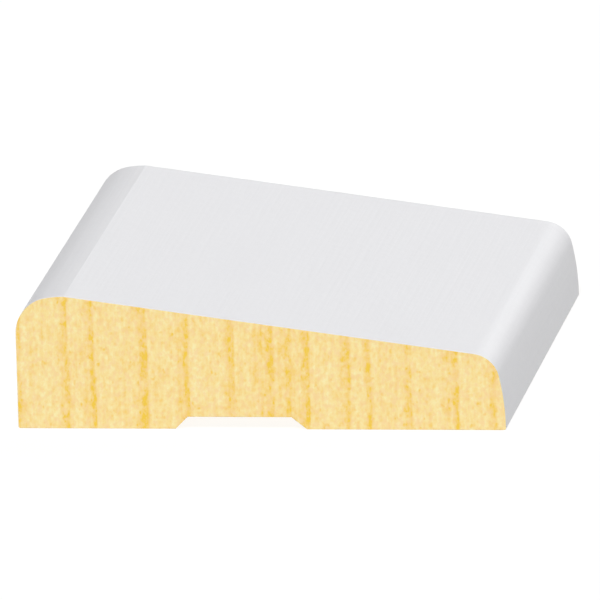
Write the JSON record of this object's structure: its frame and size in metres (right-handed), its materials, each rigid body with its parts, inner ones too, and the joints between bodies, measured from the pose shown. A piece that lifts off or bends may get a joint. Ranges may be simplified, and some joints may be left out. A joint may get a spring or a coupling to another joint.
{
  "type": "casing moulding",
  "caption": "Short square-cut length of flat bevel casing, the trim round a door or window: rounded thick edge, long flat bevel down to a soft thin edge, shallow relief in the back.",
  "frame": {"origin": "middle of the underside, which lies on the two back lands", "axes": "+X across the width, from the thick edge to the thin edge; +Y along the length, away from the end that the picture shows; +Z out of the back towards the face"},
  "size_m": [0.0636, 0.0762, 0.0175],
  "materials": {
    "primed_pine": "flat white primer over pine, with bare end grain on both cuts"
  },
  "bodies": {
    "root": {"casing": "primed_pine"}
  },
  "joints": []
}
